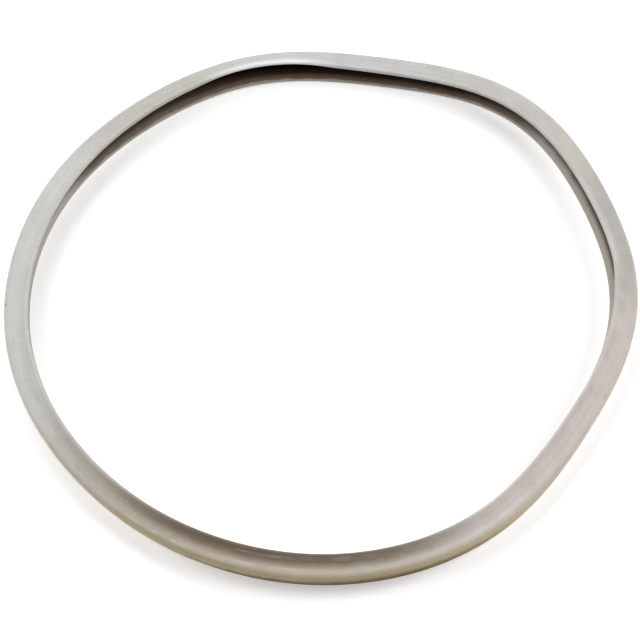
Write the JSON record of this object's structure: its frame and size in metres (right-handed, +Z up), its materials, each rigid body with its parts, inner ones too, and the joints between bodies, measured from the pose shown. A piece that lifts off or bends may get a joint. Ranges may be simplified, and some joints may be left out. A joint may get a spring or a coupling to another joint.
{
  "type": "pressure cooker sealing ring",
  "caption": "Moulded silicone sealing ring for a stovetop pressure cooker lid, C-shaped in section with two lips opening inwards, lying slightly out of round.",
  "frame": {"origin": "centre of the ring's footprint, on the table it lies on", "axes": "+Z up through the ring, +X and +Y in the plane of the table"},
  "size_m": [0.2402, 0.233, 0.0157],
  "materials": {
    "silicone": "satin silicone, aged: greyed, with brown staining in the hollow and yellowed outer wall"
  },
  "bodies": {
    "root": {"sealing_ring": "silicone"}
  },
  "joints": []
}
